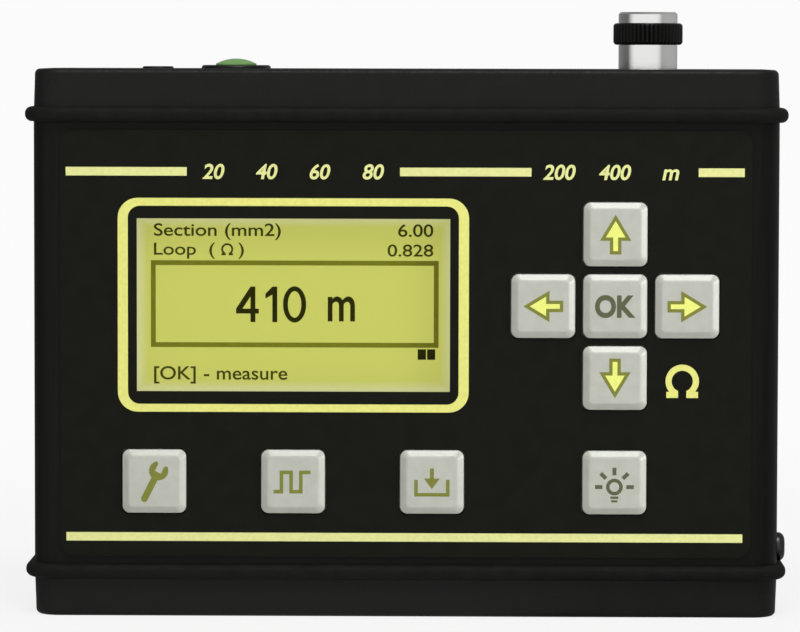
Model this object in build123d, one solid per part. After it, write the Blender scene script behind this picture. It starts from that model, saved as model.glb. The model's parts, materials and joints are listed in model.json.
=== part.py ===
from build123d import *
import math
import os

# Cable reflectometer. Millimetres, +Z up, front towards -Y, right towards +X.
# The origin is the middle of the bottom end face, on which the instrument stands.

# Front layout across the case, from its left face to its right face
EDGE_TO_DISPLAY = 19.4
DISPLAY_SIDE_BORDER = 4.45
VIEW_WIDTH = 71.1
DISPLAY_TO_KEYS = 9.4
KEY_SIZE = 14.5
KEY_GAP = 1.8
KEYS_TO_EDGE = 13.9
LOWER_KEY_INSET = 1.2

# Front layout up the case, from its bottom end to its top end
CAP_HEIGHT = 9.7
SEAL_WEB = 1.2
PROFILE_TO_KEYS = 12.85
KEYS_TO_DISPLAY = 6.85
DISPLAY_END_BORDER = 6.35
VIEW_HEIGHT = 39.3
DISPLAY_TO_PROFILE_END = 16.6

# Case profile, end caps and seals
WALL = 2.5
CORNER_RADIUS = 6.0
CAP_DRAFT = 2.0
CAP_EDGE_ROUND = 1.2
CAP_RIM = 5.0
CAP_POCKET_RADIUS = 10.0
END_WALL = 3.0
BEAD_PROUD = 2.0
BEAD_HEIGHT = 3.4
RIB_THICKNESS = 1.2
RIB_REACH = 2.2

# Front overlay and display
OVERLAY_THICKNESS = 0.4
OVERLAY_SIDE_MARGIN = 6.5
OVERLAY_END_MARGIN = 2.9
OVERLAY_CORNER = 3.0
WINDOW_LEDGE = 0.6
WINDOW_MARGIN = 2.2
WINDOW_CORNER = 1.5
GASKET_THICKNESS = 0.8
GASKET_INSET = 1.0
FRAME_SHEET = 0.6
GLASS_THICKNESS = 2.2
DISPLAY_BOARD_SIDE = 6.5
DISPLAY_BOARD_END = 9.0
DISPLAY_SPACER = 1.6
DISPLAY_SCREW_INSET = 2.5

# Keys and their switches
KEY_PROUD = 1.8
KEY_BEVEL = 1.5
KEY_BEVEL_DEPTH = 0.9
KEY_CORNER = 1.7
KEY_FACE_ROUND = 1.0
KEY_SHOULDER_ROUND = 0.4
KEY_SHELL = 1.3
KEY_FLANGE = 1.0
KEY_STEM_RADIUS = 2.6
KEY_STEM_REACH = 1.6
KEY_TRAVEL = 0.8
PLUNGER_REST = 0.8
PLUNGER_POST = 3.8
PLUNGER_RADIUS = 3.3
PLUNGER_SEAT = 1.2
PLUNGER_SPARE = 0.5
SWITCH_SIDE = 12.0
SWITCH_HEIGHT = 4.0

# Boards and battery
BOARD_THICKNESS = 1.6
BOARD_SPACE = 12.3
LINK_WIDTH = 25.4
LINK_HEIGHT = 5.0
LINK_UP = 13.0
RELAY_SIZE = (20.0, 10.0)
RELAY_HEIGHT = 8.0
RELAY_PITCH = 13.0
CHIP_SIDE = 14.0
CHIP_HEIGHT = 1.4
CELL_COUNT = 4
CELL_DIAMETER = 14.5
CELL_LENGTH = 50.5
CELL_NUB_RADIUS = 2.75
CELL_NUB = 1.5
CELL_PITCH = 15.0
HOLDER_BASE = 1.2
HOLDER_WALL = 1.5
CONTACT_SIDE = 9.0
CONTACT_THICKNESS = 0.4

# Measuring socket on the top end
SOCKET_FROM_RIGHT = 29.3
SOCKET_RADIUS = 6.8
SOCKET_HEIGHT = 13.2
SOCKET_BORE = 5.0
SOCKET_BORE_DEPTH = 8.0
SOCKET_CORE = 4.4
SOCKET_THREAD_RADIUS = 6.0
SOCKET_THREAD_LENGTH = 9.0
SOCKET_NUT_FLATS = 15.0
SOCKET_NUT_HEIGHT = 2.5
SOCKET_MOUTH_CHAMFER = 0.5
CONTACT_COUNT = 4
CONTACT_RING_RADIUS = 2.6
CONTACT_RADIUS = 0.8
CONTACT_BORE = 0.5
CONTACT_TAIL = 3.0
RING_RADIUS = 8.0
RING_HEIGHT = 5.1
RING_UP = 5.6
RING_GROOVE = 0.35
RING_ROUND = 0.8
RING_TEETH = 48
RING_NOTCH = 0.45

# Power button on the top end
POWER_FROM_LEFT = 45.25
POWER_FLANGE_RADIUS = 8.0
POWER_FLANGE = 0.8
POWER_THREAD_RADIUS = 6.0
POWER_LENGTH = 15.0
POWER_BORE = 4.8
POWER_TRAVEL = 1.2
BUTTON_CROWN = 2.3
BUTTON_DOME = 1.2
BUTTON_SKIRT = 2.5
POWER_NUT_FLATS = 14.0
POWER_NUT_HEIGHT = 2.2
POWER_TAG = (2.8, 0.5, 5.0)
POWER_TAG_SPACING = 4.6
SPRING_RADIUS = 3.2
SPRING_WIRE = 0.35
SPRING_TURNS = 4
SPRING_PRESSED = 5.3

# Charging socket on the top end
CHARGE_FROM_LEFT = 27.15
CHARGE_FLANGE_RADIUS = 3.6
CHARGE_FLANGE = 0.5
CHARGE_THREAD_RADIUS = 3.0
CHARGE_LENGTH = 10.0
CHARGE_BORE = 1.9
CHARGE_BORE_DEPTH = 8.0
CHARGE_PIN_RADIUS = 0.6
CHARGE_PIN_BELOW_FACE = 1.0
CHARGE_NUT_FLATS = 8.0
CHARGE_NUT_HEIGHT = 2.0

# Fasteners
CAP_SCREW_RADIUS = 1.5
CAP_SCREW_INSET = 6.0
CAP_SCREW_GRIP = 8.0
CAP_SCREW_HEAD_RADIUS = 2.75
CAP_SCREW_HEAD = 2.0
CAP_SCREW_RECESS = 0.4
BOSS_WALL = 2.3
DISPLAY_SCREW_RADIUS = 1.25
DISPLAY_SCREW_HEAD_RADIUS = 2.25
DISPLAY_SCREW_HEAD = 1.6
DISPLAY_SPACER_RADIUS = 2.5
DISPLAY_NUT_FLATS = 5.0
DISPLAY_NUT_HEIGHT = 2.0
SIDE_SCREW_RADIUS = 1.5
SIDE_SCREW_HEAD_RADIUS = 3.3
SIDE_SCREW_HEAD = 1.9
SIDE_SCREW_FROM_FRONT = 9.0
SIDE_SCREW_TO_BEAD = 0.2
SCREW_HEAD_ROUND = 0.4

# Clearances, each on one side of a fit
KEY_CLEARANCE = 0.25
FLANGE_CLEARANCE = 0.2
PLUNGER_CLEARANCE = 0.2
BUTTON_CLEARANCE = 0.1
RING_CLEARANCE = 0.08
RING_END_CLEARANCE = 0.05
WINDOW_CLEARANCE = 0.15
THREAD_CLEARANCE = 0.03
SCREW_CLEARANCE = 0.2
HOLE_CLEARANCE = 0.1
INSERT_CLEARANCE = 0.05
CONTACT_CLEARANCE = 0.03
SLOT_CLEARANCE = 0.15
BOARD_END_CLEARANCE = 0.3
FRAME_CLEARANCE = 0.5
GLASS_CLEARANCE = 0.2
CELL_CLEARANCE = 0.15
HOLDER_CLEARANCE = 0.1
TIP_CLEARANCE = 0.2

# Overall sizes
KEY_PITCH = KEY_SIZE + KEY_GAP
KEY_PAD = 3 * KEY_SIZE + 2 * KEY_GAP
DISPLAY_WIDTH = VIEW_WIDTH + 2 * DISPLAY_SIDE_BORDER
DISPLAY_HEIGHT = VIEW_HEIGHT + 2 * DISPLAY_END_BORDER
LOWER_KEY_PITCH = DISPLAY_WIDTH / 2 - LOWER_KEY_INSET - KEY_SIZE / 2
CASE_WIDTH = EDGE_TO_DISPLAY + DISPLAY_WIDTH + DISPLAY_TO_KEYS + KEY_PAD + KEYS_TO_EDGE
PROFILE_LENGTH = PROFILE_TO_KEYS + KEY_SIZE + KEYS_TO_DISPLAY + DISPLAY_HEIGHT + DISPLAY_TO_PROFILE_END
PROFILE_BOTTOM = CAP_HEIGHT + SEAL_WEB
SEAL_Z = CAP_HEIGHT + SEAL_WEB / 2
PROFILE_TOP = PROFILE_BOTTOM + PROFILE_LENGTH
CASE_HEIGHT = PROFILE_TOP + SEAL_WEB + CAP_HEIGHT

# Depths of the layers behind the front face of the profile
PLUNGER_DEPTH = WALL + KEY_FLANGE + KEY_STEM_REACH
SWITCH_DEPTH = PLUNGER_DEPTH + KEY_TRAVEL + PLUNGER_REST
FRONT_BOARD_DEPTH = SWITCH_DEPTH + SWITCH_HEIGHT
FRAME_DEPTH = WALL + GASKET_THICKNESS
DISPLAY_BOARD_DEPTH = FRONT_BOARD_DEPTH + BOARD_THICKNESS + DISPLAY_SPACER
MAIN_BOARD_DEPTH = DISPLAY_BOARD_DEPTH + BOARD_THICKNESS + BOARD_SPACE
HOLDER_DEPTH = MAIN_BOARD_DEPTH + BOARD_THICKNESS
HOLDER_THICKNESS = HOLDER_BASE + CELL_DIAMETER + 2 * CELL_CLEARANCE
CASE_DEPTH = HOLDER_DEPTH + HOLDER_THICKNESS + HOLDER_CLEARANCE + WALL

# Places
FRONT = -CASE_DEPTH / 2
DISPLAY_X = -CASE_WIDTH / 2 + EDGE_TO_DISPLAY + DISPLAY_WIDTH / 2
DISPLAY_Z = PROFILE_BOTTOM + PROFILE_TO_KEYS + KEY_SIZE + KEYS_TO_DISPLAY + DISPLAY_HEIGHT / 2
PAD_X = CASE_WIDTH / 2 - KEYS_TO_EDGE - KEY_PAD / 2
LOWER_ROW_Z = PROFILE_BOTTOM + PROFILE_TO_KEYS + KEY_SIZE / 2
MIDDLE_Z = CASE_HEIGHT / 2
SOCKET_X = CASE_WIDTH / 2 - SOCKET_FROM_RIGHT
POWER_X = -CASE_WIDTH / 2 + POWER_FROM_LEFT
CHARGE_X = -CASE_WIDTH / 2 + CHARGE_FROM_LEFT
INNER_WIDTH = CASE_WIDTH - 2 * WALL
BOSS_RADIUS = CAP_SCREW_RADIUS + BOSS_WALL
POWER_BORE_DEPTH = BUTTON_SKIRT + POWER_TRAVEL + SPRING_PRESSED
KEY_HOLE = KEY_SIZE + 2 * KEY_CLEARANCE
KEY_FLANGE_SIZE = KEY_PITCH - 2 * FLANGE_CLEARANCE
KEYS = {
    "key_up": (PAD_X, DISPLAY_Z + KEY_PITCH),
    "key_left": (PAD_X - KEY_PITCH, DISPLAY_Z),
    "key_ok": (PAD_X, DISPLAY_Z),
    "key_right": (PAD_X + KEY_PITCH, DISPLAY_Z),
    "key_down": (PAD_X, DISPLAY_Z - KEY_PITCH),
    "key_trace": (DISPLAY_X - LOWER_KEY_PITCH, LOWER_ROW_Z),
    "key_mode": (DISPLAY_X, LOWER_ROW_Z),
    "key_memory": (DISPLAY_X + LOWER_KEY_PITCH, LOWER_ROW_Z),
    "key_light": (PAD_X, LOWER_ROW_Z),
}


def slab(outline, depth, thickness):
    """Plate along the front panel: outline in X and Z, front at this depth behind the profile's face."""
    back = Plane(origin=(0, FRONT + depth + thickness, 0), x_dir=(1, 0, 0), z_dir=(0, -1, 0))
    return extrude(back * outline, amount=thickness)


def post(radius, bottom, top):
    """Upright cylinder on the Z axis between two heights."""
    return Pos(0, 0, bottom) * Cylinder(radius, top - bottom, align=(Align.CENTER, Align.CENTER, Align.MIN))


def turned(outline):
    """Body of revolution about Z from an outline of radius and height."""
    return revolve(Plane.XZ * outline, Axis.Z)


def hex_nut(flats, height, bore):
    """Hexagon nut standing on the XY plane."""
    hexagon = RegularPolygon(flats / 2, 6, major_radius=False)
    return extrude(hexagon - Circle(bore), amount=height)


def cross_screw(radius, length, head_radius, head_height, rounding):
    """Cross-head screw along +Z with the seat of its head at the origin."""
    head = post(head_radius, -head_height, 0)
    head = fillet(head.edges().sort_by(Axis.Z)[0], rounding)
    arm = Box(1.3 * head_radius, 0.3 * head_radius, head_height)
    recess = Pos(0, 0, -head_height) * (arm + Rot(0, 0, 90) * arm)
    return head + post(radius, -0.1, length) - recess


def corners(width, depth):
    """Four points at the corners of a rectangle about the origin."""
    return [(sx * width / 2, sy * depth / 2) for sx in (-1, 1) for sy in (-1, 1)]


def cap_screw_spots():
    return corners(CASE_WIDTH - 2 * CAP_SCREW_INSET, CASE_DEPTH - 2 * CAP_SCREW_INSET)


def display_screw_spots():
    width = DISPLAY_WIDTH + 2 * (DISPLAY_BOARD_SIDE - DISPLAY_SCREW_INSET)
    height = DISPLAY_HEIGHT + 2 * (DISPLAY_BOARD_END - DISPLAY_SCREW_INSET)
    return [(DISPLAY_X + x, DISPLAY_Z + z) for x, z in corners(width, height)]


def view_outline(margin, radius=0.0):
    """Rectangle round the visible part of the display."""
    width = VIEW_WIDTH + 2 * margin
    height = VIEW_HEIGHT + 2 * margin
    outline = RectangleRounded(width, height, radius) if radius else Rectangle(width, height)
    return Pos(DISPLAY_X, DISPLAY_Z) * outline


def case_outline(grown=0.0):
    return RectangleRounded(CASE_WIDTH + 2 * grown, CASE_DEPTH + 2 * grown, CORNER_RADIUS + grown)


def cap_pocket_outline():
    return RectangleRounded(CASE_WIDTH - 2 * CAP_RIM, CASE_DEPTH - 2 * CAP_RIM, CAP_POCKET_RADIUS)


def board_ribs(depth):
    """Two pairs of ribs on the side walls, which hold the edges of one board."""
    ribs = Sketch()
    reach = RIB_REACH + WALL / 2
    offset = BOARD_THICKNESS / 2 + SLOT_CLEARANCE + RIB_THICKNESS / 2
    for side in (-1, 1):
        x = side * (CASE_WIDTH / 2 - WALL / 2 - reach / 2)
        for step in (-offset, offset):
            ribs += Pos(x, FRONT + depth + BOARD_THICKNESS / 2 + step) * Rectangle(reach, RIB_THICKNESS)
    return ribs


def side_screw_place():
    y = FRONT + SIDE_SCREW_FROM_FRONT
    z = SEAL_Z + BEAD_HEIGHT / 2 + SIDE_SCREW_TO_BEAD + SIDE_SCREW_HEAD_RADIUS
    return Pos(CASE_WIDTH / 2, y, z) * Rot(0, -90, 0)


def case_profile():
    """Extruded tube with screw bosses and board slots, milled for the window and the keys."""
    inner_radius = CORNER_RADIUS - WALL
    section = case_outline() - RectangleRounded(INNER_WIDTH, CASE_DEPTH - 2 * WALL, inner_radius)
    for x, y in cap_screw_spots():
        section += Pos(x, y) * Circle(BOSS_RADIUS)
    section += board_ribs(FRONT_BOARD_DEPTH)
    section += board_ribs(MAIN_BOARD_DEPTH)
    for x, y in cap_screw_spots():
        section -= Pos(x, y) * Circle(CAP_SCREW_RADIUS + THREAD_CLEARANCE)
    profile = extrude(Pos(0, 0, PROFILE_BOTTOM) * section, amount=PROFILE_LENGTH)
    profile -= slab(view_outline(WINDOW_MARGIN + WINDOW_CLEARANCE, WINDOW_CORNER), 0, WALL - WINDOW_LEDGE)
    profile -= slab(view_outline(WINDOW_CLEARANCE), 0, WALL)
    for x, z in KEYS.values():
        profile -= slab(Pos(x, z) * RectangleRounded(KEY_HOLE, KEY_HOLE, KEY_CORNER), 0, WALL)
    screw_hole = post(SIDE_SCREW_RADIUS + THREAD_CLEARANCE, 0, WALL - TIP_CLEARANCE)
    return profile - side_screw_place() * screw_hole


def bottom_cap():
    """Drafted end cap with a pocket, and counterbores for its four screws."""
    rim = Pos(0, 0, CAP_HEIGHT) * case_outline()
    cap = extrude(rim, amount=CAP_HEIGHT, dir=(0, 0, -1), taper=CAP_DRAFT)
    cap = fillet(cap.faces().sort_by(Axis.Z)[0].edges(), CAP_EDGE_ROUND)
    cap -= extrude(Pos(0, 0, END_WALL) * cap_pocket_outline(), amount=CAP_HEIGHT)
    hole = post(CAP_SCREW_RADIUS + SCREW_CLEARANCE, 0, CAP_HEIGHT)
    hole += post(CAP_SCREW_HEAD_RADIUS + SCREW_CLEARANCE, 0, CAP_SCREW_HEAD + CAP_SCREW_RECESS)
    for x, y in cap_screw_spots():
        cap -= Pos(x, y, 0) * hole
    return cap


def at_top(shape):
    """Turn a shape made for the bottom end over to the top end."""
    return Pos(0, 0, CASE_HEIGHT) * Rot(180, 0, 0) * shape


def top_cap():
    """End cap with round holes for the two sockets and the power button."""
    cap = at_top(bottom_cap())
    for x, radius in (
        (SOCKET_X, SOCKET_THREAD_RADIUS),
        (POWER_X, POWER_THREAD_RADIUS),
        (CHARGE_X, CHARGE_THREAD_RADIUS),
    ):
        cap -= Pos(x, 0, 0) * post(radius + HOLE_CLEARANCE, CASE_HEIGHT - END_WALL, CASE_HEIGHT)
    return cap


def bottom_seal():
    """Rubber seal: a flat web between cap and profile, with a round bead over their joint."""
    bead = extrude(Pos(0, 0, SEAL_Z - BEAD_HEIGHT / 2) * case_outline(BEAD_PROUD), amount=BEAD_HEIGHT)
    bead = fillet(bead.edges().group_by(Axis.Z)[0] + bead.edges().group_by(Axis.Z)[-1], 0.46 * BEAD_HEIGHT)
    bead -= extrude(Pos(0, 0, SEAL_Z - BEAD_HEIGHT) * case_outline(), amount=2 * BEAD_HEIGHT)
    web = case_outline(BEAD_PROUD / 2) - cap_pocket_outline()
    for x, y in cap_screw_spots():
        web -= Pos(x, y) * Circle(CAP_SCREW_RADIUS + SCREW_CLEARANCE)
    return bead + extrude(Pos(0, 0, CAP_HEIGHT) * web, amount=SEAL_WEB)


def bottom_cap_screws():
    seat = CAP_SCREW_RECESS + CAP_SCREW_HEAD
    length = PROFILE_BOTTOM + CAP_SCREW_GRIP - seat
    screw = cross_screw(CAP_SCREW_RADIUS, length, CAP_SCREW_HEAD_RADIUS, CAP_SCREW_HEAD, SCREW_HEAD_ROUND)
    return Compound(children=[Pos(x, y, seat) * screw for x, y in cap_screw_spots()])


def side_screw():
    """Round-head screw tapped into the right side wall."""
    length = WALL - 2 * TIP_CLEARANCE
    rounding = 0.8 * SIDE_SCREW_HEAD
    return side_screw_place() * cross_screw(
        SIDE_SCREW_RADIUS, length, SIDE_SCREW_HEAD_RADIUS, SIDE_SCREW_HEAD, rounding
    )


def front_overlay():
    """Printed film on the front face, open over the display and round every key."""
    width = CASE_WIDTH - 2 * OVERLAY_SIDE_MARGIN
    height = PROFILE_LENGTH - 2 * OVERLAY_END_MARGIN
    outline = Pos(0, MIDDLE_Z) * RectangleRounded(width, height, OVERLAY_CORNER)
    outline -= view_outline(0)
    for x, z in KEYS.values():
        outline -= Pos(x, z) * RectangleRounded(KEY_HOLE, KEY_HOLE, KEY_CORNER)
    return slab(outline, -OVERLAY_THICKNESS, OVERLAY_THICKNESS)


def display_window():
    return slab(view_outline(WINDOW_MARGIN, WINDOW_CORNER), 0, WALL - WINDOW_LEDGE)


def display_outline(inset=0.0):
    """Rectangle of the display's metal frame, drawn in by an inset."""
    return Pos(DISPLAY_X, DISPLAY_Z) * Rectangle(DISPLAY_WIDTH - 2 * inset, DISPLAY_HEIGHT - 2 * inset)


def display_gasket():
    return slab(display_outline(GASKET_INSET) - view_outline(FRAME_SHEET), WALL, GASKET_THICKNESS)


def display_frame():
    """Folded sheet-metal frame round the display glass."""
    depth = DISPLAY_BOARD_DEPTH - FRAME_DEPTH
    frame = slab(display_outline(), FRAME_DEPTH, depth)
    frame -= slab(display_outline(FRAME_SHEET), FRAME_DEPTH + FRAME_SHEET, depth - FRAME_SHEET)
    return frame - slab(view_outline(FRAME_SHEET), FRAME_DEPTH, FRAME_SHEET)


def display_glass():
    return slab(display_outline(FRAME_SHEET + GLASS_CLEARANCE), FRAME_DEPTH + FRAME_SHEET, GLASS_THICKNESS)


def display_backlight():
    front = FRAME_DEPTH + FRAME_SHEET + GLASS_THICKNESS
    return slab(display_outline(FRAME_SHEET + GLASS_CLEARANCE), front, DISPLAY_BOARD_DEPTH - front)


def display_board():
    width = DISPLAY_WIDTH + 2 * DISPLAY_BOARD_SIDE
    height = DISPLAY_HEIGHT + 2 * DISPLAY_BOARD_END
    outline = Pos(DISPLAY_X, DISPLAY_Z) * Rectangle(width, height)
    for x, z in display_screw_spots():
        outline -= Pos(x, z) * Circle(DISPLAY_SCREW_RADIUS + HOLE_CLEARANCE)
    return slab(outline, DISPLAY_BOARD_DEPTH, BOARD_THICKNESS)


def display_spacers():
    ring = Circle(DISPLAY_SPACER_RADIUS) - Circle(DISPLAY_SCREW_RADIUS + HOLE_CLEARANCE)
    front = FRONT_BOARD_DEPTH + BOARD_THICKNESS
    spots = display_screw_spots()
    return Compound(children=[slab(Pos(x, z) * ring, front, DISPLAY_SPACER) for x, z in spots])


def display_screws():
    seat = DISPLAY_BOARD_DEPTH + BOARD_THICKNESS
    length = seat - FRONT_BOARD_DEPTH + DISPLAY_NUT_HEIGHT - TIP_CLEARANCE
    screw = Rot(90, 0, 0) * cross_screw(
        DISPLAY_SCREW_RADIUS, length, DISPLAY_SCREW_HEAD_RADIUS, DISPLAY_SCREW_HEAD, SCREW_HEAD_ROUND
    )
    return Compound(children=[Pos(x, FRONT + seat, z) * screw for x, z in display_screw_spots()])


def display_nuts():
    bore = DISPLAY_SCREW_RADIUS + THREAD_CLEARANCE
    nut = Rot(90, 0, 0) * hex_nut(DISPLAY_NUT_FLATS, DISPLAY_NUT_HEIGHT, bore)
    y = FRONT + FRONT_BOARD_DEPTH
    return Compound(children=[Pos(x, y, z) * nut for x, z in display_screw_spots()])


def board_outline():
    width = INNER_WIDTH - 2 * BOARD_END_CLEARANCE
    return Pos(0, MIDDLE_Z) * Rectangle(width, PROFILE_LENGTH - 2 * BOARD_END_CLEARANCE)


def front_board():
    """Key board, held in the front pair of slots and open for the display's frame."""
    outline = board_outline() - display_outline(-FRAME_CLEARANCE)
    for x, z in display_screw_spots():
        outline -= Pos(x, z) * Circle(DISPLAY_SCREW_RADIUS + HOLE_CLEARANCE)
    return slab(outline, FRONT_BOARD_DEPTH, BOARD_THICKNESS)


def key_switches():
    """Nine switch housings on the front board, each with a blind bore for its plunger."""
    side = SWITCH_SIDE
    bore_depth = PLUNGER_SEAT + KEY_TRAVEL + PLUNGER_SPARE
    bore = Circle(PLUNGER_RADIUS + PLUNGER_CLEARANCE)
    housings = []
    for x, z in KEYS.values():
        housing = slab(Pos(x, z) * Rectangle(side, side), SWITCH_DEPTH, SWITCH_HEIGHT)
        housings.append(housing - slab(Pos(x, z) * bore, SWITCH_DEPTH, bore_depth))
    return Compound(children=housings)


def key_cap(x, z):
    """Hollow key with a soft bevelled face, a flange behind the front wall and a stem on its switch."""
    spot = Pos(x, z)
    shoulder = KEY_BEVEL_DEPTH - KEY_PROUD
    back = WALL + KEY_FLANGE
    face = KEY_SIZE - 2 * KEY_BEVEL
    sections = []
    for size, radius, depth in ((KEY_SIZE, KEY_CORNER, shoulder), (face, KEY_CORNER / 2, -KEY_PROUD)):
        plane = Plane(origin=(0, FRONT + depth, 0), x_dir=(1, 0, 0), z_dir=(0, -1, 0))
        sections.append(plane * (spot * RectangleRounded(size, size, radius)))
    cap = slab(spot * RectangleRounded(KEY_SIZE, KEY_SIZE, KEY_CORNER), shoulder, back - shoulder)
    cap += loft(sections, ruled=True)
    cap = fillet(cap.edges().group_by(Axis.Y)[2], KEY_SHOULDER_ROUND)
    cap = fillet(cap.edges().group_by(Axis.Y)[0], KEY_FACE_ROUND)
    cap += slab(spot * RectangleRounded(KEY_FLANGE_SIZE, KEY_FLANGE_SIZE, KEY_CORNER), WALL, KEY_FLANGE)
    hollow = KEY_SIZE - 2 * KEY_SHELL
    ceiling = shoulder + KEY_SHELL
    cap -= slab(spot * RectangleRounded(hollow, hollow, KEY_CORNER / 2), ceiling, back - ceiling)
    return cap + slab(spot * Circle(KEY_STEM_RADIUS), ceiling, PLUNGER_DEPTH - ceiling)


def key_plunger(x, z):
    """Switch plunger: a round foot in the housing and a square post up to the key's stem."""
    foot = slab(Pos(x, z) * Circle(PLUNGER_RADIUS), SWITCH_DEPTH, PLUNGER_SEAT)
    length = SWITCH_DEPTH - PLUNGER_DEPTH
    return foot + slab(Pos(x, z) * Rectangle(PLUNGER_POST, PLUNGER_POST), PLUNGER_DEPTH, length)


def main_board():
    """Measuring board in the rear pair of slots, notched under the power button and charging socket."""
    left = CHARGE_X - 2 * CHARGE_FLANGE_RADIUS
    right = POWER_X + POWER_NUT_FLATS
    notch_bottom = CASE_HEIGHT - POWER_LENGTH - POWER_TAG[2] - SOCKET_NUT_HEIGHT
    notch = Pos((left + right) / 2, PROFILE_TOP) * Rectangle(right - left, 2 * (PROFILE_TOP - notch_bottom))
    return slab(board_outline() - notch, MAIN_BOARD_DEPTH, BOARD_THICKNESS)


def board_link():
    """Stacking connector between the front board and the main board."""
    front = FRONT_BOARD_DEPTH + BOARD_THICKNESS
    place = Pos(PAD_X, PROFILE_BOTTOM + LINK_UP)
    return slab(place * Rectangle(LINK_WIDTH, LINK_HEIGHT), front, MAIN_BOARD_DEPTH - front)


def relays():
    place = Pos(PAD_X, DISPLAY_Z)
    block = Rectangle(*RELAY_SIZE)
    depth = MAIN_BOARD_DEPTH - RELAY_HEIGHT
    steps = (-RELAY_PITCH, 0, RELAY_PITCH)
    return Compound(children=[slab(place * Pos(0, step) * block, depth, RELAY_HEIGHT) for step in steps])


def main_chips():
    depth = MAIN_BOARD_DEPTH - CHIP_HEIGHT
    chip = Rectangle(CHIP_SIDE, CHIP_SIDE)
    spots = [DISPLAY_X + step * 2 * CHIP_SIDE for step in (-1, 0, 1)]
    return Compound(children=[slab(Pos(x, DISPLAY_Z) * chip, depth, CHIP_HEIGHT) for x in spots])


def cell_spots():
    return [CELL_PITCH * (index - (CELL_COUNT - 1) / 2) for index in range(CELL_COUNT)]


def battery_holder():
    """Open tray on the back of the main board."""
    inner_width = CELL_PITCH * CELL_COUNT
    inner_length = CELL_LENGTH + 2 * CONTACT_THICKNESS
    outer = Rectangle(inner_width + 2 * HOLDER_WALL, inner_length + 2 * HOLDER_WALL)
    tray = slab(Pos(0, MIDDLE_Z) * outer, HOLDER_DEPTH, HOLDER_THICKNESS)
    hollow = Pos(0, MIDDLE_Z) * Rectangle(inner_width, inner_length)
    return tray - slab(hollow, HOLDER_DEPTH + HOLDER_BASE, HOLDER_THICKNESS - HOLDER_BASE)


def cell_axis_y():
    return FRONT + HOLDER_DEPTH + HOLDER_BASE + CELL_CLEARANCE + CELL_DIAMETER / 2


def battery_cells():
    """Round cells side by side, with every second one turned over."""
    half = CELL_LENGTH / 2
    cell = post(CELL_DIAMETER / 2, -half, half - CELL_NUB) + post(CELL_NUB_RADIUS, 0, half)
    cells = []
    for index, x in enumerate(cell_spots()):
        cells.append(Pos(x, cell_axis_y(), MIDDLE_Z) * Rot(180 * (index % 2), 0, 0) * cell)
    return Compound(children=cells)


def battery_contacts():
    """Flat contact plates at both ends of every cell."""
    plate = Box(CONTACT_SIDE, CONTACT_SIDE, CONTACT_THICKNESS)
    plates = []
    for x in cell_spots():
        for end in (-1, 1):
            z = MIDDLE_Z + end * (CELL_LENGTH + CONTACT_THICKNESS) / 2
            plates.append(Pos(x, cell_axis_y(), z) * plate)
    return Compound(children=plates)


def socket_place():
    return Pos(SOCKET_X, 0, CASE_HEIGHT)


def socket_shell():
    """Plated barrel with a groove for the lock ring, threaded through the top cap."""
    groove = SOCKET_RADIUS - RING_GROOVE
    shell = post(SOCKET_RADIUS, 0, SOCKET_HEIGHT) + post(SOCKET_THREAD_RADIUS, -SOCKET_THREAD_LENGTH, 0)
    shell = chamfer(shell.edges().sort_by(Axis.Z)[-1], SOCKET_MOUTH_CHAMFER)
    ring_top = RING_UP + RING_HEIGHT
    shell -= post(SOCKET_RADIUS, RING_UP, ring_top) - post(groove, RING_UP, ring_top)
    shell -= post(SOCKET_CORE, -SOCKET_THREAD_LENGTH, SOCKET_HEIGHT)
    return socket_place() * (shell - post(SOCKET_BORE, SOCKET_HEIGHT - SOCKET_BORE_DEPTH, SOCKET_HEIGHT))


def contact_spots():
    return PolarLocations(CONTACT_RING_RADIUS, CONTACT_COUNT, start_angle=45)


def socket_insert():
    """Insulating core of the socket, bored for its contacts."""
    core = post(SOCKET_CORE - INSERT_CLEARANCE, -SOCKET_THREAD_LENGTH, SOCKET_HEIGHT - SOCKET_BORE_DEPTH)
    for spot in contact_spots():
        core -= spot * post(CONTACT_RADIUS + CONTACT_CLEARANCE, -SOCKET_THREAD_LENGTH, SOCKET_HEIGHT)
    return socket_place() * core


def socket_contacts():
    """Contact tubes, flush with the core's face and with tails below it."""
    top = SOCKET_HEIGHT - SOCKET_BORE_DEPTH
    tube = post(CONTACT_RADIUS, -SOCKET_THREAD_LENGTH - CONTACT_TAIL, top) - post(CONTACT_BORE, 0, top)
    return Compound(children=[socket_place() * spot * tube for spot in contact_spots()])


def socket_nut():
    nut = hex_nut(SOCKET_NUT_FLATS, SOCKET_NUT_HEIGHT, SOCKET_THREAD_RADIUS + THREAD_CLEARANCE)
    return socket_place() * Pos(0, 0, -END_WALL - SOCKET_NUT_HEIGHT) * nut


def lock_ring():
    """Knurled ring turning in the groove of the socket."""
    bottom = RING_UP + RING_END_CLEARANCE
    height = RING_HEIGHT - 2 * RING_END_CLEARANCE
    knurl = Circle(RING_RADIUS)
    for spot in PolarLocations(RING_RADIUS, RING_TEETH):
        knurl -= spot * Rot(0, 0, 45) * Rectangle(RING_NOTCH, RING_NOTCH)
    blank = post(RING_RADIUS, bottom, bottom + height)
    blank = fillet(blank.edges().filter_by(GeomType.CIRCLE), RING_ROUND)
    ring = extrude(Pos(0, 0, bottom) * knurl, amount=height) & blank
    bore = SOCKET_RADIUS - RING_GROOVE + RING_CLEARANCE
    return socket_place() * (ring - post(bore, bottom, bottom + height))


def power_place():
    return Pos(POWER_X, 0, CASE_HEIGHT)


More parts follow.
